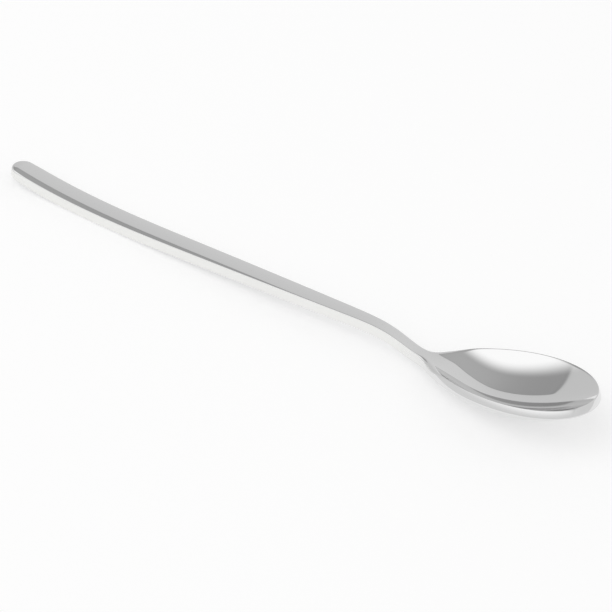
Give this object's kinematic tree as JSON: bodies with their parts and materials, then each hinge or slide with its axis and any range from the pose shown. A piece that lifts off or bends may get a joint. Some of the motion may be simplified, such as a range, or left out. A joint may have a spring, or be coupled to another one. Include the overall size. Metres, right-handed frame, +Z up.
{
  "type": "iced tea spoon",
  "caption": "Long-handled stirring spoon with a slim crowned handle that turns up at its round end, a narrow dropped neck and an oval bowl with a leaning face round its rim.",
  "frame": {"origin": "on the table surface, under the middle of the spoon's length and width, as the spoon lies with its hollow upward", "axes": "+X along the spoon from the end of the handle to the tip of the bowl, +Y across it, +Z up out of the hollow"},
  "size_m": [0.1898, 0.0298, 0.0143],
  "materials": {
    "polished_steel": "mirror-polished stainless steel with faint cross-brushing left on the side walls of the handle"
  },
  "bodies": {
    "root": {"handle": "polished_steel", "neck": "polished_steel", "bowl": "polished_steel"}
  },
  "joints": []
}
